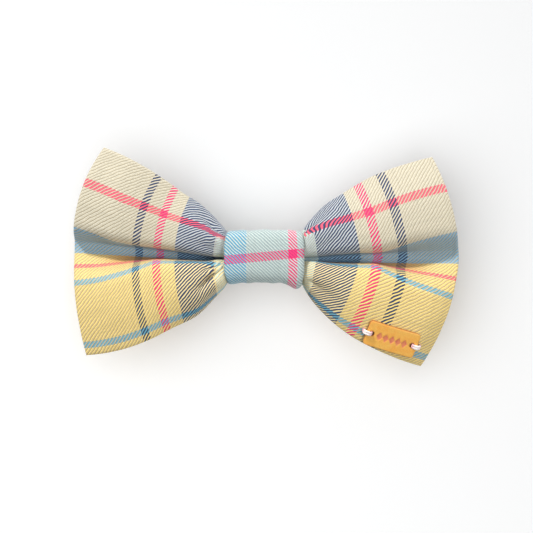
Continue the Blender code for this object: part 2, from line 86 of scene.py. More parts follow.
# Knot band, in mm. Heights are from the bow's centre; the lap's ends are at the back. Sags of its
# under side: place, width and depth.
BAND_HALF_WIDTH = 12.35
BAND_TOP = 8.95
BAND_BOTTOM = -7.35
BAND_MIDDLE = 0.9
BAND_THICKNESS = 0.9
BAND_STEP = 1.2
BAND_SQUARENESS = 0.52
LAP_START = 2.0
LAP_END = -4.6
BAND_SAGS = ((-11.0, 2.4, 0.5), (10.2, 2.9, 1.7))
BAND_POINTS = 150
BAND_COLUMN_STEP = 0.45
BAND_ROUND = 0.5
BAND_TUCK = 0.55
BAND_TUCK_WIDTH = 1.9

# Wings by side, -1 on the photo's left, in mm. up and down: the outline's height beside the knot,
# slope, bend and how far it swells just beyond the knot. valley: height at the knot and at the end.
# end: reach at the valley, then for the top and the bottom how far the corner falls short and how
# suddenly. far: how far the end turns back at top and bottom, in degrees. drawn: how far columns
# are pulled to the knot, in the upper and in the lower lobe. phase: of the gathers, in radians.
WINGS = {
    -1: {
        "up": (8.0, 0.80, -0.0049, 1.0), "down": (8.1, 0.86, -0.0084, 1.4), "valley": (-0.3, 4.3),
        "end": (59.4, (9.6, 2.3), (4.0, 2.2)), "far": (10.0, 8.0), "drawn": (0.0, 0.0),
        "phase": 0.4,
    },
    1: {
        "up": (8.5, 0.805, -0.0065, 0.5), "down": (7.0, 0.885, -0.0068, 0.0), "valley": (-0.3, 1.0),
        "end": (60.5, (8.1, 1.55), (11.5, 1.75)), "far": (28.0, 22.0), "drawn": (1.2, 2.8),
        "phase": 2.1,
    },
}
SWELL_AT = 10.0
SWELL_WIDTH = 6.0
DRAWN_PEAK = 0.148
LOWER_PHASE = 1.3

# Creases in mm: from and to, as places on the cloth, then width and depth. Below zero is a ridge.
CREASES = {
    -1: [
        (12.5, 28.6, 25.0, 31.0, 1.7, 1.3), (14.0, 22.5, 27.0, 24.0, 2.0, -0.6),
        (12.5, -15.5, 23.0, -25.0, 1.3, 2.7), (11.0, -6.0, 19.0, -9.5, 2.6, -0.7),
        (13.0, -10.5, 21.0, -17.5, 1.3, 1.5),
        (13.0, 10.0, 30.0, 9.0, 2.4, -0.3), (15.0, 17.0, 33.0, 19.0, 2.0, 0.25),
    ],
    1: [
        (12.0, 30.0, 25.0, 31.5, 1.6, 1.1), (14.0, 24.5, 28.0, 25.0, 2.2, -0.6),
        (14.5, -22.5, 34.0, -27.0, 2.8, 1.3), (11.5, -10.0, 26.0, -14.0, 3.0, -0.5),
        (13.0, 18.0, 30.0, 19.0, 1.8, 0.3),
    ],
}
CREASE_RUN_IN = 2.0
CREASE_RUN_OUT = 0.8
CREASE_SPREAD = 0.6
CREASE_START = 11.0

# Lobes: length of the valley flank at the knot and at the end, in mm, then fold angles in degrees.
UPPER_LOBE = {
    "flank": (12.5, 9.0), "steepest": 90.0, "crown": (34.0, 5.0), "far": 88.0, "settle": 0.28,
    "gather": 9.0, "gather_length": 7.5,
}
LOWER_LOBE = {
    "flank": (14.5, 12.5), "steepest": 88.0, "crown": (56.0, 4.0), "far": 72.0, "settle": 0.22,
    "gather": 16.0, "gather_length": 8.5,
}
VALLEY_FLOOR = 3.8
FLANK_BLEND = 3.5
FLANK_POWER = 1.5
CROWN_DECAY = 0.25
GATHER_DECAY = 0.16
PROFILE_POINTS = 241
FOLD_HALVINGS = 22
WING_SECTIONS = 200

# Shifts of the pattern beside the knot, in mm.
PLEAT = 3.4
PLEAT_FROM = 23.6
PLEAT_RISE = 3.4
PLEAT_REACH = 27.0
ROW_SLIP = 0.9

# Cloth meshes, in mm: steps, the panels' swelling and rolled-back rims, and the stiffener.
COLUMN_STEP = 0.55
ROW_STEP = 0.5
SWELL_RIM = 1.1
ROLL = 0.2
ROLL_RIM = 0.6
PANEL_GAP = 0.04
THIN_RIM = 0.5
STIFFENER_INSET = 3.0
STIFFENER_HALF = 0.1

# Leather tag, in mm.
TAG_LENGTH = 16.5
TAG_HEIGHT = 8.4
TAG_THICKNESS = 1.0
TAG_CORNER = 1.1
TAG_SLOPE = math.radians(-19.5)
TAG_HOLE_X = 6.6
TAG_HOLE_RADIUS = 0.8
TAG_BEND = 0.25
TAG_SHIFT = (-0.6, 0.45)
TAG_LOZENGES = (-4.0, -2.0, 0.0, 2.0, 4.0)
LOZENGE_HALF = (1.0, 1.5)
LOZENGE_DEPTH = 0.14
TAG_STRAND_SPACING = 0.68
TAG_STEP = 0.15
TAG_RIM = (0.0, 0.04, 0.11, 0.21, 0.34)
TAG_GAP = 0.1
TAG_REST_PERCENTILE = 97

# Threads, in mm. A line's frame starts from SIDE_START, which no line follows.
PLY_OVERLAP = 0.92
SIDE_START = (0.31, 0.52, 0.8)
END_SHARE = 0.55
GATHERING_TURNS = 3
GATHERING_CLEAR = 0.75
GATHERING_DEPTH = 4.15
GATHERING_HALF = 1.1
SEAM_STEP = 0.5

# Clip stitches and springs, in mm from the centre.
SEWING_X = 10.4
SEWING_HOLE_Z = 5.2
SEWING_EDGE_Z = 7.0
HINGE_X = 5.0
HINGE_Y = 1.6
SPRING_RADIUS = 0.8
SPRING_WIRE = 0.17
SPRING_TURNS = 4.5
SPRING_PITCH = 0.62
SPRING_LEG = 2.4
SPRING_POINTS = 145

# Camera: the width it takes in at the cloth, and the point it looks at, in metres.
VIEW_WIDTH = 0.1657
VIEW_X = 0.0007
VIEW_Z = -0.0023
LENS = 100.0
SENSOR = 36.0

# Light, in metres and watts. The wall's own glow makes up for the key light, kept off it.
SKY_ABOVE = 0.50
SKY_BELOW = 0.14
KEY_POWER = 9.6
FILL_POWER = 4.6
HALO_POWER = 4.0
REAR_POWER = 1.5
KEY_PLACE = (-0.43, -0.58, 0.79)
FILL_PLACE = (0.42, -0.86, -0.06)
HALO_PLACE = (-0.18, -0.50, -0.05)
REAR_PLACE = (0.3, 0.7, 0.5)
BACKDROP_GLOW = 0.11
BACKDROP_REACH = 4.0
BACKDROP_GAP = 0.0055

band_low, band_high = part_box("knot_band")
CENTRE_Y = (band_low.y + band_high.y) / 2 / MM - BAND_STEP / 2
BAND_HALF_DEPTH = (band_high.y - band_low.y) / 2 / MM - BAND_STEP / 2


def smoothstep(value):
    held = np.clip(value, 0.0, 1.0)
    return held * held * (3.0 - 2.0 * held)


def rounded(distance, rim, least=0.0):
    """A quarter round from 0 at an edge to 1 a rim away from it."""
    return np.sqrt(1 - (1 - np.clip(distance / rim, least, 1)) ** 2)


def colour(red, green, blue):
    """A colour given as it looks on screen, 0 to 255, made linear."""
    parts = [value / 255 for value in (red, green, blue)]
    linear = [p / 12.92 if p <= 0.04045 else ((p + 0.055) / 1.055) ** 2.4 for p in parts]
    return (*linear, 1.0)


# Materials

class Shader:
    """A node material under construction, with short calls for its usual nodes."""

    def __init__(self, name):
        self.material = bpy.data.materials.new(name)
        self.material.use_nodes = True
        self.tree = self.material.node_tree
        self.surface = self.tree.nodes["Principled BSDF"]

    def node(self, kind, **settings):
        made = self.tree.nodes.new(kind)
        for key, value in settings.items():
            setattr(made, key, value)
        return made

    def link(self, source, target):
        self.tree.links.new(source, target)

    def put(self, socket, value):
        if hasattr(value, "is_linked"):
            self.link(value, socket)
        else:
            socket.default_value = value

    def math(self, operation, first, second=0.0, third=0.0):
        made = self.node("ShaderNodeMath", operation=operation)
        for socket, value in zip(made.inputs, (first, second, third)):
            self.put(socket, value)
        return made.outputs[0]

    def times(self, first, second):
        return self.math("MULTIPLY", first, second)

    def blend(self, value, low, high, first, second):
        """From the first colour to the second as a value goes from low to high."""
        return self.mix(self.ranged(value, low, high), first, second)

    def away(self, value, middle):
        """How far a value is from a middle one."""
        return self.math("ABSOLUTE", self.math("SUBTRACT", value, middle))

    def mix(self, factor, first, second, kind="MIX"):
        made = self.node("ShaderNodeMix", data_type="RGBA", blend_type=kind)
        self.put(made.inputs[0], factor)
        self.put(made.inputs[6], first)
        self.put(made.inputs[7], second)
        return made.outputs[2]

    def tinted(self, first, second):
        return self.mix(1.0, first, second, "MULTIPLY")

    def attribute(self, name):
        return self.node("ShaderNodeAttribute", attribute_name=name).outputs["Fac"]

    def here(self):
        return self.node("ShaderNodeTexCoord").outputs["Object"]

    def ranged(self, value, low, high, to_low=0.0, to_high=1.0):
        made = self.node("ShaderNodeMapRange", interpolation_type="SMOOTHSTEP")
        for socket, given in zip(made.inputs, (value, low, high, to_low, to_high)):
            self.put(socket, given)
        return made.outputs[0]

    def noise(self, vector, scale, detail=2.0, roughness=0.5):
        made = self.node("ShaderNodeTexNoise")
        self.put(made.inputs["Vector"], vector)
        made.inputs["Scale"].default_value = scale
        made.inputs["Detail"].default_value = detail
        made.inputs["Roughness"].default_value = roughness
        return made.outputs[0]

    def vector(self, x, y, z=0.0):
        made = self.node("ShaderNodeCombineXYZ")
        for socket, value in zip(made.inputs, (x, y, z)):
            self.put(socket, value)
        return made.outputs[0]

    def stripes(self, place, span, ground, bands, share=1.0):
        """Colours across a cloth: ground, with bands of (from, to, colour) inside a span.

        share is how much of the ground's own colour shows; the bands show fully."""
        low, high = span
        ground = (*ground[:3], share)
        ramp = self.node("ShaderNodeValToRGB")
        ramp.color_ramp.interpolation = "CONSTANT"
        stops = ramp.color_ramp.elements
        stops[0].position = 0.0
        stops[0].color = ground
        stops.remove(stops[1])
        for start, end, tint in bands:
            stops.new((start - low) / (high - low)).color = tint
            stops.new((end - low) / (high - low)).color = ground
        along = self.math("DIVIDE", self.math("SUBTRACT", place, low), high - low)
        self.link(along, ramp.inputs[0])
        return ramp.outputs[0], ramp.outputs[1]

    def bump(self, height, distance, strength=1.0):
        made = self.node("ShaderNodeBump")
        made.inputs["Strength"].default_value = strength
        made.inputs["Distance"].default_value = distance
        self.link(height, made.inputs["Height"])
        self.link(made.outputs[0], self.surface.inputs["Normal"])

    def finish(self, base, roughness, metallic=0.0, sheen=0.0):
        self.put(self.surface.inputs["Base Color"], base)
        self.put(self.surface.inputs["Roughness"], roughness)
        self.surface.inputs["Metallic"].default_value = metallic
        self.surface.inputs["Sheen Weight"].default_value = sheen
        return self.material


CREAM_WARP = colour(205, 194, 165)
CREAM_WEFT = colour(222, 216, 197)
COOL_WEFT = colour(204, 212, 218)
WHITE_WARP = colour(206, 219, 208)
MINT_WARP = colour(168, 189, 191)
MINT_WEFT = colour(212, 225, 222)
NAVY = colour(54, 70, 110)
PINK = colour(252, 56, 128)
PINK_WEFT = colour(255, 100, 128)
YELLOW = colour(255, 230, 146)
PALE_YELLOW = colour(250, 232, 176)
SKY = colour(116, 188, 214)
SKY_WARP = colour(92, 174, 208)
SKY_PALE = colour(138, 186, 218)
SKY_GROUND = colour(170, 192, 206)
YELLOW_WARP = colour(250, 212, 134)
# Painted shade: the warm orange of the shadowed fold under the valley.
FOLD_SHADE_TINT = (1.0, 0.64, 0.40, 1.0)
WHITE = (1.0, 1.0, 1.0, 1.0)
# Painted shade: the dark lines in the twill's grooves, on the wings and on the knot.
WING_GROOVE_SHADE = (0.48, 0.41, 0.30, 1.0)
KNOT_GROOVE_SHADE = (0.46, 0.50, 0.52, 1.0)

# The tartan, in mm on the cloth: spans, bands and threads. The ground shows through the warp by
# GROUND_SHARE, and a row shows behind it by ROW_STRENGTH.
WING_SPAN = (-60.0, 61.0)
CLOTH_SPAN = (-36.0, 40.0)
KNOT_SPAN = (-14.0, 14.0)
ROUND_SPAN = (-40.0, 40.0)
INNER = (-27.4, 29.6)
VALLEY_ROW = (-0.2, 12.0)
WING_COLUMNS = [
    (-40.9, -38.6, NAVY), (-34.4, -31.8, PINK), (INNER[0], -15.6, NAVY), (-15.4, 16.2, WHITE_WARP),
    (16.4, INNER[1], NAVY), (33.5, 36.4, PINK), (41.0, 43.6, NAVY),
]
WING_ROWS = [
    (-31.6, -29.6, SKY), (-11.9, -10.0, SKY), (-6.0, -4.5, PINK_WEFT), (*VALLEY_ROW, SKY_PALE),
    (24.5, 27.1, PINK_WEFT),
]
KNOT_COLUMNS = [(KNOT_SPAN[0], -5.6, SKY_WARP), (7.4, 10.1, PINK)]
KNOT_ROWS = [(-0.9, 2.1, PINK)]
# Where the fold's painted shade lies: its rows, and how far out along the wing it fades.
FOLD_SHADE_ROWS = (-6.5, -4.0)
FOLD_SHADE_REACH = (54.0, 42.0)
WING_THREAD = 0.315
KNOT_THREAD = 0.255
THREADS_A_REPEAT = 4
GROUND_SHARE = 0.5
ROW_STRENGTH = 0.4


def twill(name, warp, weft, lean, thread, groove_shade_tint, skew=0.0):
    """A 2/2 twill. At a place in mm, warp gives a colour and how much of it shows, and weft gives a
    colour and the ground behind the warp; lean is 1 for / or -1.

    Over each pair of threads the warp shows, and over the next pair the weft, one thread further
    along in each row, so a stripe looks hatched and two crossing stripes of a colour look solid."""
    shader = Shader(name)
    place = shader.node("ShaderNodeUVMap", uv_map="cloth").outputs[0]
    split = shader.node("ShaderNodeSeparateXYZ")
    shader.link(place, split.inputs[0])
    u, v = split.outputs[0], split.outputs[1]
    if skew:
        v = shader.math("SUBTRACT", v, shader.times(u, skew))
    wander = shader.noise(shader.vector(u, v), 0.35, 1.0)
    across = shader.times(v, lean / (THREADS_A_REPEAT * thread))
    along = shader.times(u, 1 / (THREADS_A_REPEAT * thread))
    phase = shader.math("SUBTRACT", along, across)
    phase = shader.math("ADD", phase, shader.times(wander, 0.7))
    turn = shader.math("FRACT", phase)
    ridge = shader.math("ABSOLUTE", shader.math("MULTIPLY_ADD", turn, 2.0, -1.0))
    over = shader.ranged(ridge, 0.42, 0.58)

    speckle = shader.noise(shader.vector(u, v), 1.6 / thread, 2.0, 0.6)
    speckle = shader.ranged(speckle, 0.3, 0.7, 0.86, 1.1)

    def thread_shade(fine, coarse):
        uneven = shader.noise(shader.vector(fine, coarse), 1.0, 2.0)
        shade = shader.times(shader.ranged(uneven, 0.25, 0.75, 0.88, 1.08), speckle)
        return shader.vector(shade, shade, shade)

    warp_shade = thread_shade(shader.times(u, 1 / thread), shader.times(v, 0.05))
    weft_shade = thread_shade(shader.times(v, 1 / thread), shader.times(u, 0.05))
    weft_tint, ground = weft(shader, u, v)
    warp_tint, own = warp(shader, u)
    warp_tint = shader.tinted(shader.mix(own, ground, warp_tint), warp_shade)
    cloth = shader.mix(over, shader.tinted(weft_tint, weft_shade), warp_tint)

    # Each diagonal ridge has painted shade: a thin dark line along one side, where the ridge shades
    # its groove, and a fainter one along the other. The first line's groove also goes into the
    # bump.
    groove_and_shade = shader.ranged(shader.away(turn, 0.25), 0.01, 0.15)
    back_groove_shade = shader.ranged(shader.away(turn, 0.75), 0.0, 0.08, 0.86, 1.0)
    cloth = shader.tinted(cloth, shader.mix(groove_and_shade, groove_shade_tint, WHITE))
    cloth = shader.tinted(cloth, shader.vector(back_groove_shade, back_groove_shade, back_groove_shade))

    warp_round = shader.math("COSINE", shader.times(u, math.tau / thread))
    weft_round = shader.math("COSINE", shader.times(v, math.tau / thread))
    threads = shader.node("ShaderNodeMix", data_type="FLOAT")
    shader.put(threads.inputs[0], over)
    shader.put(threads.inputs[2], weft_round)
    shader.put(threads.inputs[3], warp_round)
    relief = shader.math("ADD", shader.times(threads.outputs[0], 0.16), groove_and_shade)
    fuzz = shader.noise(shader.vector(u, v), 5.0, 3.0)
    relief = shader.math("ADD", relief, shader.times(fuzz, 0.5))
    shader.bump(relief, 0.00010, 0.8)
    return shader.finish(cloth, 0.82, sheen=0.12)


def wing_warp(shader, u):
    return shader.stripes(u, WING_SPAN, CREAM_WARP, WING_COLUMNS, GROUND_SHARE)


def wing_weft(shader, u, v):
    """Yellow below the valley and cream above it, paler between the wide navy columns. The folded
    flank under the valley gets painted shade: a deeper orange for the warm light bounced into the
    fold's shadow."""
    tint, drawn = shader.stripes(v, CLOTH_SPAN, YELLOW, WING_ROWS, 0.0)
    inner = shader.stripes(u, WING_SPAN, WHITE, [(*INNER, WHITE)], 0.0)[1]
    valley = shader.stripes(v, CLOTH_SPAN, WHITE, [(*VALLEY_ROW, WHITE)], 0.0)[1]
    upper = shader.ranged(v, -0.05, 0.05)
    high = shader.mix(valley, shader.mix(inner, CREAM_WEFT, COOL_WEFT), SKY_GROUND)
    ground = shader.mix(upper, shader.mix(inner, YELLOW, PALE_YELLOW), high)
    behind = shader.mix(upper, YELLOW_WARP, high)
    behind = shader.mix(shader.times(drawn, ROW_STRENGTH), behind, tint)
    # Painted shade in the fold under the valley, fading out towards the wing's end.
    inward = shader.ranged(shader.math("ABSOLUTE", u), *FOLD_SHADE_REACH)
    deep = shader.times(shader.ranged(v, *FOLD_SHADE_ROWS), inward)
    deep = shader.times(deep, shader.math("SUBTRACT", 1.0, upper))
    flank = shader.mix(deep, WHITE, FOLD_SHADE_TINT)
    return shader.tinted(shader.mix(drawn, ground, tint), flank), shader.tinted(behind, flank)


def knot_warp(shader, u):
    return shader.stripes(u, KNOT_SPAN, MINT_WARP, KNOT_COLUMNS)


def knot_weft(shader, u, v):
    return shader.stripes(v, ROUND_SPAN, MINT_WEFT, KNOT_ROWS)[0], MINT_WEFT


def darker(tint, share):
    return (*[part * share for part in tint[:3]], 1.0)


def plain_cloth(name, tint):
    shader = Shader(name)
    felt = shader.noise(shader.here(), 2600.0, 4.0, 0.65)
    base = shader.mix(felt, darker(tint, 0.8), tint)
    shader.bump(felt, 0.00008, 0.5)
    return shader.finish(base, 0.9)


def yarn(name, tint, shade, ends=None):
    """Spun thread: the plies are in the mesh, and fine fibres in the bump. Given ends, both ends
    get painted shade.
    """
    shader = Shader(name)
    place = shader.here()
    fibre = shader.noise(place, 5200.0, 3.0, 0.6)
    patch = shader.noise(place, 500.0, 2.0)
    base = shader.blend(patch, 0.35, 0.7, tint, shade)
    # Painted shade: towards both ends the thread blends to a darker pink, where it goes into the
    # hole and over the edge.
    if ends:
        along = shader.attribute("along")
        from_middle = shader.math("ABSOLUTE", shader.math("MULTIPLY_ADD", along, 2.0, -1.0))
        base = shader.blend(from_middle, 0.25, 0.7, base, ends)
    base = shader.mix(shader.ranged(fibre, 0.3, 0.8, 0.0, 0.3), base, colour(255, 250, 248))
    shader.bump(fibre, 0.00005, 0.6)
    return shader.finish(base, 0.62, sheen=0.2)


def leather(name):
    """Grained leather. The mesh says where it is inked, and where it is cut."""
    shader = Shader(name)
    place = shader.here()
    grain = shader.node("ShaderNodeTexVoronoi", feature="DISTANCE_TO_EDGE")
    shader.link(place, grain.inputs["Vector"])
    grain.inputs["Scale"].default_value = 1900.0
    cell = shader.ranged(grain.outputs["Distance"], 0.0, 0.14)
    cloudy = shader.noise(place, 330.0, 4.0, 0.6)
    fine = shader.noise(place, 2600.0, 3.0, 0.6)
    base = shader.blend(cloudy, 0.3, 0.72, colour(255, 200, 96), colour(255, 180, 74))
    base = shader.mix(shader.ranged(fine, 0.45, 0.8, 0.0, 0.35), base, colour(255, 214, 138))
    base = shader.mix(shader.ranged(cell, 0.0, 1.0, 0.18, 0.0), base, colour(214, 122, 50))
    base = shader.mix(shader.times(shader.attribute("ink"), 0.85), base, colour(226, 112, 104))
    base = shader.mix(shader.times(shader.attribute("cut"), 0.8), base, colour(172, 96, 44))
    shader.bump(shader.math("ADD", shader.times(cell, 0.7), fine), 0.00007, 0.6)
    return shader.finish(base, shader.ranged(cloudy, 0.3, 0.7, 0.46, 0.62))


def metal(name, tint, rough_low, rough_high):
    """Plated metal, brushed along X."""
    shader = Shader(name)
    place = shader.here()
    stretched = shader.node("ShaderNodeMapping")
    stretched.inputs["Scale"].default_value = (400.0, 4000.0, 4000.0)
    shader.link(place, stretched.inputs["Vector"])
    brushed = shader.noise(stretched.outputs[0], 1.0, 3.0)
    smear = shader.noise(place, 420.0, 2.0)
    base = shader.blend(smear, 0.3, 0.7, tint, darker(tint, 0.93))
    rough = shader.ranged(shader.math("ADD", brushed, smear), 0.6, 1.4, rough_low, rough_high)
    shader.bump(brushed, 0.00001, 0.35)
    return shader.finish(base, rough, metallic=1.0)


# Mesh helpers

def add_object(name, data):
    made = bpy.data.objects.new(name, data)
    bpy.context.scene.collection.objects.link(made)
    return made


def add_mesh(name, points, faces):
    """A mesh from points in mm."""
    mesh = bpy.data.meshes.new(name)
    mesh.from_pydata((points * MM).tolist(), [], faces)
    return mesh


def give(mesh, name, values):
    """Stores one value for each point, for a material to read."""
    layer = mesh.attributes.new(name, "FLOAT", "POINT")
    layer.data.foreach_set("value", values.astype(np.float32))


def add_piece(name, mesh, material, replaced, rides=True):
    mesh.shade_smooth()
    piece = add_object(name, mesh)
    piece.data.materials.append(material)
    if rides:
        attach(piece, BODY)
    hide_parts(replaced)
    return piece


def quads_of(index):
    """The faces of a grid of point numbers."""
    return np.stack([index[:-1, :-1], index[1:, :-1], index[1:, 1:], index[:-1, 1:]], axis=-1)


def skin_pair(name, outer, inner, places):
    """A closed mesh from two grids of points and their places on the cloth, in mm."""
    wide, tall = outer.shape[:2]
    points = np.concatenate([outer.reshape(-1, 3), inner.reshape(-1, 3)])
    index = np.arange(wide * tall).reshape(wide, tall)
    front = quads_of(index).reshape(-1, 4)
    back = front[:, ::-1] + wide * tall
    rim = np.concatenate([index[:, 0], index[-1, 1:], index[-2::-1, -1], index[0, -2:0:-1]])
    after = np.roll(rim, -1)
    side = np.stack([after, rim, rim + wide * tall, after + wide * tall], axis=-1)
    faces = np.concatenate([front, back, side])
    mesh = add_mesh(name, points, faces.tolist())
    layer = mesh.uv_layers.new(name="cloth")
    corners = np.empty(len(mesh.loops), dtype=np.int32)
    mesh.loops.foreach_get("vertex_index", corners)
    flat = places.reshape(-1, 2)
    layer.data.foreach_set("uv", flat[corners % len(flat)].astype(np.float32).ravel())
    mesh.validate()
    return mesh


def graded(low, high, step, scale=1.0, rim=(0.0, 0.06, 0.18, 0.36, 0.6, 0.95, 1.4)):
    """Positions from low to high, closer together near both ends."""
    rim = np.array(rim) * scale
    count = int((high - low - 2 * rim[-1]) / step)
    middle = np.linspace(low + rim[-1], high - rim[-1], count + 1)[1:-1]
    return np.concatenate([low + rim, middle, high - rim[::-1]])


def normals_of(points):
    """Unit normals of a grid of points that runs along +X and then up, facing the front."""
    along = np.gradient(points, axis=0)
    up = np.gradient(points, axis=1)
    facing = np.cross(along, up)
    return facing / np.linalg.norm(facing, axis=-1, keepdims=True)


# Bow cloth

def fold_angles(distance, length, t, lobe, near, far_end, phase):
    """How far the cloth turns from the vertical, in degrees, at distances from the valley."""
    flank = lobe["flank"][0] + (lobe["flank"][1] - lobe["flank"][0]) * t ** FLANK_POWER
    past_flank = smoothstep((distance - flank + FLANK_BLEND) / (2 * FLANK_BLEND))
    along_face = np.clip((distance - flank) / (length - flank), 0.0, 1.0)
    tight, loose = lobe["crown"]
    crown = loose + (tight - loose) * math.exp(-t / CROWN_DECAY)
    far = far_end + (lobe["far"] - far_end) * math.exp(-t / lobe["settle"])
    rising = near * smoothstep(distance / VALLEY_FLOOR) * (1 - past_flank)
    gather = lobe["gather"] * math.exp(-((t / GATHER_DECAY) ** 2))
    gathers = gather * np.sin(math.tau * distance / lobe["gather_length"] + phase) * past_flank
    face = crown * (1 - 2 * along_face) * past_flank - far * smoothstep(along_face)
    return rising + face + gathers


def lobe_profile(length, height, t, lobe, far_end, phase):
    """One lobe's section: distances up the cloth with their rise and forward reach, in mm."""
    distance = np.linspace(0.0, length, PROFILE_POINTS)
    step = distance[1]

    def run(near, ease):
        angle = np.radians(fold_angles(distance, length, t, lobe, near, far_end, phase))
        rise = np.cumsum(np.cos(angle)) - math.cos(angle[0])
        reach = np.cumsum(np.sin(angle)) - math.sin(angle[0])
        return rise * step * ease, reach * step * ease

    tallest = run(lobe["steepest"], CLOTH_EASE)[0].max()
    if tallest > height:
        return distance, *run(lobe["steepest"], CLOTH_EASE * height / tallest)
    low, high = 0.0, lobe["steepest"]
    for _ in range(FOLD_HALVINGS):
        middle = (low + high) / 2
        if run(middle, CLOTH_EASE)[0].max() > height:
            low = middle
        else:
            high = middle
    return distance, *run(high, CLOTH_EASE)


def wing_section(side, u, v):
    """Heights and depths, in mm, of the cloth at heights v, at a distance u along one wing."""
    wing = WINGS[side]
    t = max(0.0, (u - PINCH_U) / (CLOTH_HALF - PINCH_U))
    s = u - BAND_HALF_WIDTH
    valley = wing["valley"][0] + (wing["valley"][1] - wing["valley"][0]) * t
    opened = smoothstep((u - PINCH_U) / (OPEN_U - PINCH_U))
    heights = []
    for key, pinched in (("up", PINCH_UP), ("down", PINCH_DOWN)):
        start, slope, bend, swell = wing[key]
        height = start + slope * s + bend * s * s
        height += swell * math.exp(-(((s - SWELL_AT) / SWELL_WIDTH) ** 2))
        heights.append(pinched + (height - pinched) * opened)
    phase = wing["phase"]
    up_length, down_length = CLOTH_TOP - VALLEY_V, VALLEY_V - CLOTH_BOTTOM
    up = lobe_profile(up_length, heights[0] - valley, t, UPPER_LOBE, wing["far"][0], phase)
    phase += LOWER_PHASE
    down = lobe_profile(down_length, heights[1] + valley, t, LOWER_LOBE, wing["far"][1], phase)
    above, over, under = v >= VALLEY_V, v - VALLEY_V, VALLEY_V - v
    rise = np.where(above, np.interp(over, up[0], up[1]), -np.interp(under, down[0], down[1]))
    reach = np.where(above, np.interp(over, up[0], up[2]), np.interp(under, down[0], down[2]))
    return valley + rise, (reach.min() + reach.max()) / 2 - reach


def wing_surface(side, columns, rows):
    """The middle surface of one wing, as a grid of points in mm, outward and then up."""
    fine = np.linspace(0.0, CLOTH_HALF, WING_SECTIONS)
    z, y = np.array([wing_section(side, u, rows) for u in fine]).transpose(1, 0, 2)
    step = fine[1]
    across = step ** 2 - np.diff(z, axis=0) ** 2 - np.diff(y, axis=0) ** 2
    run = np.sqrt(np.maximum(across, (LEAST_RUN * step) ** 2))
    x = np.vstack([np.zeros(len(rows)), np.cumsum(run, axis=0)])
    reach, (short_top, top_power), (short_bottom, bottom_power) = WINGS[side]["end"]
    high = np.clip((rows - VALLEY_V) / (CLOTH_TOP - VALLEY_V), 0.0, 1.0)
    low = np.clip((VALLEY_V - rows) / (VALLEY_V - CLOTH_BOTTOM), 0.0, 1.0)
    end = reach - short_top * high ** top_power - short_bottom * low ** bottom_power
    x = x / x[-1] * end
    outward = np.clip((x - BAND_HALF_WIDTH) / (end - BAND_HALF_WIDTH), 0.0, 1.0)
    drawn_up, drawn_down = WINGS[side]["drawn"]
    drawn = drawn_up * high ** 0.5 + drawn_down * low ** 0.5
    x = x - outward * (1 - outward) ** 2 / DRAWN_PEAK * drawn
    grids = [
        np.stack([np.interp(columns, fine, line) for line in grid.T], axis=1)
        for grid in (side * x, y + CENTRE_Y, z)
    ]
    return np.stack(grids, axis=-1)


def creased(middle, facing, columns, rows):
    """The middle surface with its creases and ridges pressed in, and its slight unevenness."""
    u, v = np.meshgrid(columns, rows, indexing="ij")
    pressed = np.zeros_like(u)
    for side, lines in CREASES.items():
        for u0, v0, u1, v1, width, depth in lines:
            run = np.hypot(u1 - u0, v1 - v0)
            along = ((side * u - u0) * (u1 - u0) + (v - v0) * (v1 - v0)) / run
            off = ((side * u - u0) * (v1 - v0) - (v - v0) * (u1 - u0)) / run
            ends = smoothstep((along + CREASE_RUN_IN) / (2 * CREASE_RUN_IN))
            ends *= smoothstep((run - along) / (CREASE_RUN_OUT * run))
            spread = width * (1 + CREASE_SPREAD * np.clip(along / run, 0, 1))
            pressed += depth * ends * np.exp(-((off / spread) ** 2))
    uneven = 0.14 * np.sin(0.21 * u + 0.13 * v + 1.0) * np.sin(0.17 * v - 0.11 * u)
    uneven += 0.05 * np.sin(0.55 * u - 0.37 * v) * np.sin(0.43 * v + 0.21 * u + 2.0)
    fade = smoothstep((np.abs(u) - PINCH_U) / 6.0)
    pressed *= smoothstep((np.abs(u) - CREASE_START) / 2.0)
    return middle - facing * (pressed - uneven * fade)[..., None]


def rim_distance(columns, rows):
    """How far each place of the cloth is from its nearest edge."""
    across = CLOTH_HALF - np.abs(columns)
    up = np.minimum(CLOTH_TOP - rows, rows - CLOTH_BOTTOM)
    return np.minimum(across[:, None], up[None, :])


def cloth_places(columns, rows):
    """Each point's place on the cloth. At the top of the knot a pleat takes up some of the columns,
    and the rows slip down a little on the left."""
    u, v = np.meshgrid(columns, rows, indexing="ij")
    near = smoothstep((PLEAT_REACH - np.abs(u)) / 13.0)
    pleat = PLEAT * smoothstep((v - PLEAT_FROM) / PLEAT_RISE) * near
    slip = ROW_SLIP * smoothstep((-u - 11.0) / 3.0) * smoothstep((19.0 + u) / 2.5)
    slip *= smoothstep((v - 14.0) / 6.0)
    return np.stack([u + np.sign(u) * pleat, v + slip], axis=-1)


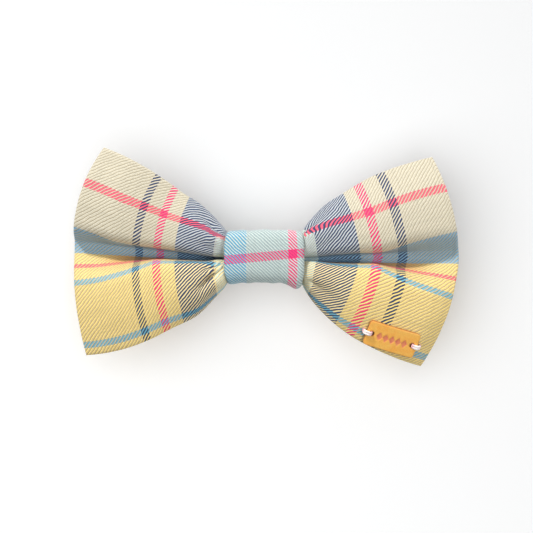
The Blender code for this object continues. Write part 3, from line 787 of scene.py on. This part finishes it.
def build_bow(front_cloth, back_cloth, inner_cloth):
    """The front and back panels and the stiffener between them, all on one middle surface."""
    columns = graded(-CLOTH_HALF, CLOTH_HALF, COLUMN_STEP)
    rows = graded(CLOTH_BOTTOM, CLOTH_TOP, ROW_STEP)
    left = columns < 0
    wings = wing_surface(-1, -columns[left], rows), wing_surface(1, columns[~left], rows)
    middle = np.concatenate(wings)
    middle = creased(middle, normals_of(middle), columns, rows)
    facing = normals_of(middle)
    rim = rim_distance(columns, rows)
    places = cloth_places(columns, rows)
    plump = SANDWICH_HALF * rounded(rim, SWELL_RIM)
    roll = ROLL * (1 - np.clip(rim / ROLL_RIM, 0, 1)) ** 2
    front, back = plump - roll, -plump - roll - PANEL_GAP
    depth = CLOTH_THICKNESS * np.clip(rim / THIN_RIM, 0.1, 1)
    panels = (
        ("front_cloth", front, front - depth, front_cloth, "front_panel"),
        ("back_cloth", back + depth, back, back_cloth, "back_panel"),
    )
    for name, outer, inner, cloth, replaced in panels:
        outer, inner = [middle + facing * offset[..., None] for offset in (outer, inner)]
        mesh = skin_pair(name, outer, inner, places)
        panel = add_piece(name, mesh, cloth, replaced)

    inset = rim > STIFFENER_INSET
    keep = np.ix_(inset.any(axis=1), inset.any(axis=0))
    small, small_facing, small_places = [grid[keep][::2, ::2] for grid in (middle, facing, places)]
    lift = small_facing * STIFFENER_HALF
    mesh = skin_pair("stiffener", small + lift, small - lift, small_places)
    sheet = add_piece("stiffener", mesh, inner_cloth, "interfacing")
    return middle, facing, columns, rows


# Knot band

def band_section(x, count):
    """The band's loop at x, in mm: y, z and place round the front, from its under end on."""
    sag = sum(depth * math.exp(-(((x - at) / width) ** 2)) for at, width, depth in BAND_SAGS)
    low = BAND_BOTTOM - sag + BAND_THICKNESS / 2
    high = BAND_TOP - BAND_THICKNESS / 2 + 0.12 * math.cos((x - 2) / 5)
    deep = BAND_HALF_DEPTH - BAND_THICKNESS / 2
    turn = np.linspace(-0.5, math.tau + 0.9, 6000)
    sine, cosine = np.sin(turn), np.cos(turn)
    reach = np.where(sine > 0, BAND_MIDDLE - low, high - BAND_MIDDLE)
    z = BAND_MIDDLE - np.sign(sine) * reach * np.abs(sine) ** BAND_SQUARENESS
    y = deep * np.sign(cosine) * np.abs(cosine) ** BAND_SQUARENESS
    lapped = smoothstep((turn - math.tau + 0.30) / 0.26)
    y = y + lapped * BAND_STEP
    begin = np.flatnonzero((turn > -0.5) & (z <= LAP_START))[0]
    end = np.flatnonzero((turn > math.tau) & (z <= LAP_END))[0]
    y, z, turn = y[begin:end], z[begin:end], turn[begin:end]
    length = np.concatenate([[0.0], np.cumsum(np.hypot(np.diff(y), np.diff(z)))])
    front = np.interp(math.pi, turn, length)
    even = length[-1] * graded(0.0, 1.0, 1.0 / count, 1.0 / length[-1])
    return np.interp(even, length, y), np.interp(even, length, z), even - front + BAND_MIDDLE


def build_band(cloth):
    """The band, drawn in at its corners, with slight waves and its edges tucked under."""
    columns = graded(-BAND_HALF_WIDTH, BAND_HALF_WIDTH, BAND_COLUMN_STEP)
    y, z, around = np.array([band_section(x, BAND_POINTS) for x in columns]).transpose(1, 0, 2)
    across = np.repeat(columns[:, None], y.shape[1], axis=1)
    share = across / BAND_HALF_WIDTH
    drawn_in = np.where(share < 0, 1.1, 0.4) * smoothstep((-z - 3.5) / 5)
    drawn_in += np.where(share < 0, 0.7, 0.5) * smoothstep((z - 3.5) / 6)
    x = across - share * np.abs(share) * drawn_in
    middle = np.stack([x, y + CENTRE_Y, z], axis=-1)
    facing = normals_of(middle)
    edge = BAND_HALF_WIDTH - np.abs(across)
    wave = 0.10 * np.sin(across * 0.83 + 0.10 * around + 0.6)
    wave += 0.07 * np.sin(across * 1.65 - 0.13 * around + 2.0)
    wave += 0.05 * np.sin(0.7 * around + 0.3 * across)
    tuck = BAND_TUCK * (1 - np.clip(edge / BAND_TUCK_WIDTH, 0, 1)) ** 2
    ends = np.minimum(around - around[:, :1], around[:, -1:] - around)
    half = BAND_THICKNESS / 2 * rounded(np.minimum(edge, ends), BAND_ROUND, 0.02)
    centre = np.clip(ends / 4.0, 0, 1) * wave - tuck
    outer, inner = [middle + facing * level[..., None] for level in (centre + half, centre - half)]
    mesh = skin_pair("knot_cloth", outer, inner, np.stack([across, around], axis=-1))
    band = add_piece("knot_cloth", mesh, cloth, "knot_band")


# Threads

def frames_along(points):
    """At each point of a line, two unit directions square to it that turn as little as they can."""
    ahead = np.gradient(points, axis=0)
    ahead /= np.linalg.norm(ahead, axis=1, keepdims=True)
    side = np.cross(ahead[0], SIDE_START)
    sides, others = [], []
    for direction in ahead:
        side = side - direction * side.dot(direction)
        side /= np.linalg.norm(side)
        sides.append(side)
        others.append(np.cross(direction, side))
    return np.array(sides), np.array(others)


def swept(points, radius, sides):
    """A tube along points, a little narrower at its two ends: its vertices and faces."""
    count = len(points)
    size = np.full(count, radius)
    size[[0, -1]] *= END_SHARE
    angle = np.arange(sides) * math.tau / sides
    rings = []
    for point, side, other, reach in zip(points, *frames_along(points), size):
        ring = np.outer(np.cos(angle), side) + np.outer(np.sin(angle), other)
        rings.append(point + reach * ring)
    index = np.arange(count * sides).reshape(count, sides)
    beside = np.roll(index, -1, axis=1)
    quads = np.stack([index[:-1], beside[:-1], beside[1:], index[1:]], axis=-1).reshape(-1, 4)
    ends = [index[0, ::-1].tolist(), index[-1].tolist()]
    return np.concatenate(rings), quads.tolist() + ends


def resampled(points, step):
    """Even points along a line, and their distances along it."""
    length = np.concatenate([[0.0], np.cumsum(np.linalg.norm(np.diff(points, axis=0), axis=1))])
    even = np.linspace(0, length[-1], max(4, int(length[-1] / step)))
    return np.stack([np.interp(even, length, points[:, k]) for k in range(3)], axis=1), even


def rounded_line(corners, radius, steps=6):
    """A 3-D line with its corners replaced by curves that start a radius away from them."""
    corners = [Vector(corner) for corner in corners]
    path = [corners[0]]
    for before, corner, after in zip(corners, corners[1:], corners[2:]):
        start, end = [
            corner + (other - corner).normalized() * min(radius, (other - corner).length * 0.49)
            for other in (before, after)
        ]
        for i in range(steps + 1):
            t = i / steps
            path.append(start * (1 - t) ** 2 + corner * 2 * t * (1 - t) + end * t * t)
    path.append(corners[-1])
    return np.array([tuple(point) for point in path])


def twisted(paths, ply_radius, plies, pitch, step=0.09, sides=7):
    """Spun strands along paths, in mm: each is plies wound round each other."""
    vertices, faces, along = [], [], []
    total = 0
    for path in paths:
        line, length = resampled(path, step)
        across, others = frames_along(line)
        spread = ply_radius / math.sin(math.pi / plies) * PLY_OVERLAP
        for ply in range(plies):
            angle = (length / pitch * math.tau + ply * math.tau / plies)[:, None]
            coil = line + spread * (np.cos(angle) * across + np.sin(angle) * others)
            points, quads = swept(coil, ply_radius, sides)
            vertices.append(points)
            faces += [[v + total for v in quad] for quad in quads]
            along.append(np.repeat(length / length[-1], sides))
            total += len(points)
    return np.concatenate(vertices), faces, np.concatenate(along)


def thread_piece(name, strands, material, replaced, matrix=None):
    vertices, faces, along = strands
    mesh = add_mesh(name, vertices, faces)
    if matrix is not None:
        mesh.transform(matrix)
    give(mesh, "along", along)
    add_piece(name, mesh, material, replaced)


# Leather tag

def tag_frame(middle, facing):
    """The tag's placing, in mm: on the cloth at its centre, raised clear of everything under it."""
    low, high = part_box("leather_tag")
    wanted = np.array([(low.x + high.x) / 2, (low.z + high.z) / 2]) / MM + TAG_SHIFT
    skin = (middle + facing * SANDWICH_HALF).reshape(-1, 3)
    normals = facing.reshape(-1, 3)
    usable = (skin[:, 0] > 0) & (skin[:, 2] < 0) & (normals[:, 1] < -0.4)
    skin, normals = skin[usable], normals[usable]
    gap = np.hypot(skin[:, 0] - wanted[0], skin[:, 2] - wanted[1])
    near = gap < 5.0
    normal = Vector(normals[near].mean(axis=0)).normalized()
    along = Vector((math.cos(TAG_SLOPE), 0, math.sin(TAG_SLOPE)))
    along = (along - normal * along.dot(normal)).normalized()
    up = normal.cross(along)
    centre = Vector((wanted[0], float(skin[gap.argmin(), 1]), wanted[1]))
    offsets = skin - np.array(centre)
    under = np.abs(offsets @ np.array(along)) < TAG_LENGTH / 2
    under &= np.abs(offsets @ np.array(up)) < TAG_HEIGHT / 2
    rise = float(np.percentile(offsets[under] @ np.array(normal), TAG_REST_PERCENTILE))
    centre += normal * (rise + TAG_GAP + TAG_THICKNESS / 2)
    turned = Matrix((along, -normal, up)).transposed().to_4x4()
    return Matrix.Translation(centre * MM) @ turned


def build_tag(matrix, material):
    """A rounded leather rectangle with two holes and a row of pressed lozenges."""
    half_length, half_height = TAG_LENGTH / 2, TAG_HEIGHT / 2
    rows = graded(-half_height, half_height, TAG_STEP, rim=TAG_RIM)
    shares = graded(-1.0, 1.0, TAG_STEP / half_length, rim=np.array(TAG_RIM) / half_length)
    beyond = np.clip(np.abs(rows) - (half_height - TAG_CORNER), 0, TAG_CORNER)
    reach = half_length - TAG_CORNER + np.sqrt(TAG_CORNER ** 2 - beyond ** 2)
    x = shares[:, None] * reach[None, :]
    z = np.repeat(rows[None, :], len(shares), axis=0)
    x = x + 0.05 * np.sin(z * 1.1 + 0.4)
    z = z + 0.05 * np.sin(x * 0.55)
    corner_x = np.clip(np.abs(x) - (half_length - TAG_CORNER), 0, None)
    corner_z = np.clip(np.abs(z) - (half_height - TAG_CORNER), 0, None)
    inside = TAG_CORNER - np.hypot(corner_x, corner_z)
    deep = np.minimum(half_length - np.abs(x), half_height - np.abs(z))
    edge_gap = np.clip(np.where((corner_x > 0) & (corner_z > 0), inside, deep), 0, None)
    hole_gap = np.full_like(x, 99.0)
    for side in (-1, 1):
        from_hole = np.hypot(x - side * TAG_HOLE_X, z)
        hole_gap = np.minimum(hole_gap, from_hole - TAG_HOLE_RADIUS)
    ink = np.zeros_like(x)
    for place in TAG_LOZENGES:
        lozenge = np.abs(x - place) / LOZENGE_HALF[0] + np.abs(z + 0.15) / LOZENGE_HALF[1]
        ink = np.maximum(ink, smoothstep((1.12 - lozenge) / 0.3))
    worn = 0.85 + 0.15 * np.sin(3.1 * x + 1.7 * z) * np.sin(2.3 * z - 1.1 * x)
    bend = TAG_BEND * (x / half_length) ** 2
    rounding = 0.3 * (1 - rounded(edge_gap, 0.35))
    dish = 0.16 * np.exp(-np.clip(hole_gap, 0, None) / 0.35)
    front = -TAG_THICKNESS / 2 + bend + rounding + dish + LOZENGE_DEPTH * ink
    back = TAG_THICKNESS / 2 + bend - 0.1

    cell_x = (x[1:, 1:] + x[:-1, :-1]) / 2
    cell_z = (z[1:, 1:] + z[:-1, :-1]) / 2
    kept = np.ones_like(cell_x, dtype=bool)
    for side in (-1, 1):
        kept &= np.hypot(cell_x - side * TAG_HOLE_X, cell_z) > TAG_HOLE_RADIUS
    touched = np.zeros_like(x, dtype=bool)
    wide, tall = kept.shape
    for dx, dz in ((0, 0), (0, 1), (1, 0), (1, 1)):
        touched[dx:dx + wide, dz:dz + tall] |= ~kept
    for side in (-1, 1):
        away_x = x - side * TAG_HOLE_X
        distance = np.maximum(np.hypot(away_x, z), 1e-6)
        rim = touched & (distance < 2 * TAG_HOLE_RADIUS)
        x = np.where(rim, side * TAG_HOLE_X + away_x / distance * TAG_HOLE_RADIUS, x)
        z = np.where(rim, z / distance * TAG_HOLE_RADIUS, z)

    index = np.arange(x.size).reshape(x.shape)
    quads = quads_of(index)[kept]
    edges = {}
    for quad in quads.tolist():
        edges.update(dict.fromkeys(zip(quad, quad[1:] + quad[:1])))
    walls = [
        [second, first, first + x.size, second + x.size]
        for first, second in edges if (second, first) not in edges
    ]
    points = np.concatenate([np.stack([x, y, z], axis=-1).reshape(-1, 3) for y in (front, back)])
    mesh = add_mesh("tag", points, quads.tolist() + (quads[:, ::-1] + x.size).tolist() + walls)
    cut = np.exp(-np.minimum(edge_gap, np.clip(hole_gap, 0, None)) / 0.12)
    give(mesh, "ink", np.tile((ink * worn).ravel(), 2))
    give(mesh, "cut", np.concatenate([cut.ravel(), np.ones(x.size)]))
    mesh.transform(matrix)
    shape = bmesh.new()
    shape.from_mesh(mesh)
    bmesh.ops.delete(shape, geom=[v for v in shape.verts if not v.link_faces], context="VERTS")
    shape.to_mesh(mesh)
    shape.free()
    add_piece("tag", mesh, material, "leather_tag")


def build_tag_threads(matrix, material):
    """At each end, two spun strands out of the hole, over the edge and down into the cloth."""
    for side, word in ((-1, "left"), (1, "right")):
        strands = []
        for way in (-0.5, 0.5):
            shift = way * TAG_STRAND_SPACING
            hole = side * (TAG_HOLE_X + 0.1)
            far = side * (TAG_LENGTH / 2 + 0.75)
            top = -TAG_THICKNESS / 2 - 0.42
            corners = [
                (hole, 0.45, shift * 0.5), (hole + side * 0.1, top, shift),
                (far, top + 0.25, shift * 1.1), (far + side * 0.2, 1.3, shift * 0.7),
            ]
            strands.append(rounded_line(corners, 1.0))
        pieces, replaced = twisted(strands, 0.2, 3, 1.5), f"tag_thread_{word}"
        thread_piece(f"tag_loop_{word}", pieces, material, replaced, matrix)


def build_gathering(material):
    """The thread wound round the pinched cloth, under the band."""
    angle = np.linspace(0, GATHERING_TURNS * math.tau, 360)
    sine, cosine = np.sin(angle), np.cos(angle)
    reach = np.where(sine > 0, PINCH_UP, PINCH_DOWN) + GATHERING_CLEAR
    y = CENTRE_Y + GATHERING_DEPTH * np.sign(cosine) * np.abs(cosine) ** 0.6
    z = reach * np.sign(sine) * np.abs(sine) ** 0.6
    coil = np.stack([np.linspace(-GATHERING_HALF, GATHERING_HALF, len(angle)), y, z], axis=1)
    pieces = twisted([coil], 0.09, 2, 0.8, 0.15, 6)
    thread_piece("gathering", pieces, material, "gathering_thread")


def build_seam(middle, columns, rows, material):
    """The thread that joins the two panels, along all four edges."""
    low, high = CLOTH_BOTTOM + SEAM_INSET, CLOTH_TOP - SEAM_INSET
    end = CLOTH_HALF - SEAM_INSET
    across = np.arange(-end, end, SEAM_STEP)
    up = np.arange(low, high, SEAM_STEP)
    u = np.concatenate([across, np.full(len(up), end), across[::-1], np.full(len(up), -end)])
    v = np.concatenate([np.full(len(across), low), up, np.full(len(across), high), up[::-1]])
    i = np.clip(np.searchsorted(columns, u) - 1, 0, len(columns) - 2)
    j = np.clip(np.searchsorted(rows, v) - 1, 0, len(rows) - 2)
    a = ((u - columns[i]) / (columns[i + 1] - columns[i]))[:, None]
    b = ((v - rows[j]) / (rows[j + 1] - rows[j]))[:, None]
    line = (middle[i, j] * (1 - a) + middle[i + 1, j] * a) * (1 - b)
    line += (middle[i, j + 1] * (1 - a) + middle[i + 1, j + 1] * a) * b
    pieces = twisted([line], 0.07, 2, 1.0, 0.35, 5)
    thread_piece("edge_seam", pieces, material, "edge_seam_thread")


def build_clip_stitches(material):
    """Where the plate is sewn on: two turns of thread from each hole round the plate's edge."""
    for side, level, word in (
        (-1, -1, "left_low"), (-1, 1, "left_high"), (1, -1, "right_low"), (1, 1, "right_high"),
    ):
        hole, edge = level * SEWING_HOLE_Z, level * SEWING_EDGE_Z
        strands = []
        for way in (-0.5, 0.5):
            x = side * SEWING_X + way * 0.34
            past = x + way * 0.3
            corners = [(x, -0.85, hole), (x, 0.28, hole), (past, 0.26, edge), (past, -1.05, edge)]
            strands.append(rounded_line(corners, 0.35))
        pieces = twisted(strands, 0.085, 3, 0.75, 0.05, 6)
        thread_piece(f"stitch_{word}", pieces, material, f"clip_stitch_{word}")


def build_springs(material):
    """Torsion springs round the hinge pins. Each winds up from its leg on the plate to the one on
    the jaw."""
    for side, word in ((-1, "left"), (1, "right")):
        turn = np.linspace(0.0, SPRING_TURNS, SPRING_POINTS)
        angle = math.tau * turn - math.pi / 2
        x = side * (HINGE_X + SPRING_RADIUS * np.cos(angle))
        y = HINGE_Y + SPRING_RADIUS * np.sin(angle)
        coil = np.stack([x, y, SPRING_PITCH * (turn - SPRING_TURNS / 2)], axis=1)
        leg_end = side * (HINGE_X - SPRING_LEG)
        line = np.concatenate([[(leg_end, *coil[0][1:])], coil, [(leg_end, *coil[-1][1:])]])
        mesh = add_mesh(f"spring_{word}", *swept(resampled(line, 0.1)[0], SPRING_WIRE, 10))
        replaced = f"jaw_spring_{word}"
        spring = add_piece(f"spring_{word}", mesh, material, replaced, rides=False)
        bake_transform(spring)


# Light, camera and stage

def build_camera():
    data = bpy.data.cameras.new("camera")
    data.lens = LENS
    data.sensor_width = SENSOR
    camera = add_object("camera", data)
    distance = VIEW_WIDTH * LENS / SENSOR
    camera.location = (VIEW_X, CENTRE_Y * MM - distance, VIEW_Z)
    camera.rotation_euler = (math.radians(90), 0, 0)
    bpy.context.scene.camera = camera


def area_light(name, place, size, power, tint=(1, 1, 1)):
    """A square light that points at the bow."""
    data = bpy.data.lights.new(name, "AREA")
    data.size = size
    data.energy = power
    data.color = tint
    light = add_object(name, data)
    light.location = place
    aim = Vector((0, CENTRE_Y * MM, 0)) - Vector(place)
    light.rotation_euler = aim.to_track_quat("-Z", "Y").to_euler()
    return light


def build_backdrop():
    """A pale surface just behind the bow. Seen from behind it is clear, so the back shows."""
    shader = Shader("backdrop")
    paint = shader.finish(colour(246, 246, 246), 0.9)
    shader.surface.inputs["Specular IOR Level"].default_value = 0.0
    shader.surface.inputs["Emission Color"].default_value = (1, 1, 1, 1)
    shader.surface.inputs["Emission Strength"].default_value = BACKDROP_GLOW
    clear = shader.node("ShaderNodeBsdfTransparent")
    side = shader.node("ShaderNodeNewGeometry").outputs["Backfacing"]
    both = shader.node("ShaderNodeMixShader")
    shader.link(side, both.inputs[0])
    shader.link(shader.surface.outputs[0], both.inputs[1])
    shader.link(clear.outputs[0], both.inputs[2])
    shader.link(both.outputs[0], shader.tree.nodes["Material Output"].inputs[0])
    reach = BACKDROP_REACH
    y = CAD_HIGH.y + BACKDROP_GAP
    corners = [(-reach, y, -reach), (reach, y, -reach), (reach, y, reach), (-reach, y, reach)]
    mesh = bpy.data.meshes.new("backdrop")
    mesh.from_pydata(corners, [], [(0, 1, 2, 3)])
    wall = add_object("backdrop", mesh)
    mesh.materials.append(paint)
    wall.visible_shadow = False
    return wall


def only_for(light, wall, state):
    """Keeps a light off the wall, or on the wall alone."""
    group = bpy.data.collections.new(light.name + "_receivers")
    light.light_linking.receiver_collection = group
    group.objects.link(wall)
    group.collection_objects[0].light_linking.link_state = state


def build_light(wall):
    """A sky that is brighter above, a hard key from the upper left, a fill from the right, a light
    for the wall alone, and one for the back."""
    world = bpy.data.worlds.new("world")
    bpy.context.scene.world = world
    world.use_nodes = True
    nodes, links = world.node_tree.nodes, world.node_tree.links
    split = nodes.new("ShaderNodeSeparateXYZ")
    links.new(nodes.new("ShaderNodeTexCoord").outputs["Generated"], split.inputs[0])
    height = nodes.new("ShaderNodeMapRange")
    links.new(split.outputs[2], height.inputs[0])
    for socket, value in zip(height.inputs[1:5], (-0.7, 0.8, SKY_BELOW, SKY_ABOVE)):
        socket.default_value = value
    links.new(height.outputs[0], nodes["Background"].inputs["Strength"])
    nodes["Background"].inputs["Color"].default_value = (0.97, 0.99, 1.0, 1)
    key = area_light("key", KEY_PLACE, 0.12, KEY_POWER, (1.0, 0.975, 0.94))
    only_for(key, wall, "EXCLUDE")
    fill = area_light("fill", FILL_PLACE, 0.35, FILL_POWER, (1.0, 0.97, 0.93))
    only_for(fill, wall, "EXCLUDE")
    halo = area_light("halo", HALO_PLACE, 0.9, HALO_POWER)
    only_for(halo, wall, "INCLUDE")
    area_light("rear", REAR_PLACE, 0.6, REAR_POWER)
    bpy.context.scene.view_settings.view_transform = "Standard"


front_cloth = twill("tartan_front", wing_warp, wing_weft, 1, WING_THREAD, WING_GROOVE_SHADE)
back_cloth = twill("tartan_back", wing_warp, wing_weft, 1, WING_THREAD, WING_GROOVE_SHADE)
band_cloth = twill("tartan_knot", knot_warp, knot_weft, -1, KNOT_THREAD, KNOT_GROOVE_SHADE, skew=0.09)
inner_cloth = plain_cloth("interfacing_felt", colour(232, 232, 226))
hide = leather("tan_leather")
# The tag thread's last colour is painted shade at its ends.
tag_yarn = yarn("tag_yarn", colour(255, 248, 246), colour(250, 232, 232), colour(226, 160, 172))
sewing_yarn = yarn("sewing_yarn", colour(206, 214, 210), colour(180, 190, 188))
nickel = metal("nickel", colour(206, 204, 198), 0.22, 0.36)
steel = metal("spring_steel", colour(168, 168, 170), 0.26, 0.4)

middle, facing, columns, rows = build_bow(front_cloth, back_cloth, inner_cloth)
build_band(band_cloth)
placing = tag_frame(middle, facing)
build_tag(placing, hide)
build_tag_threads(placing, tag_yarn)
build_clip_stitches(sewing_yarn)
build_springs(steel)
build_gathering(sewing_yarn)
build_seam(middle, columns, rows, sewing_yarn)
kept = {
    nickel: [
        "clip_base_plate", "clip_jaw_left", "clip_jaw_right", "hinge_pin_left", "hinge_pin_right",
    ],
    sewing_yarn: ["band_seam_thread"],
}
for material, names in kept.items():
    for name in names:
        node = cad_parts[name]
        node.data.materials.clear()
        node.data.materials.append(material)
build_camera()
build_light(build_backdrop())
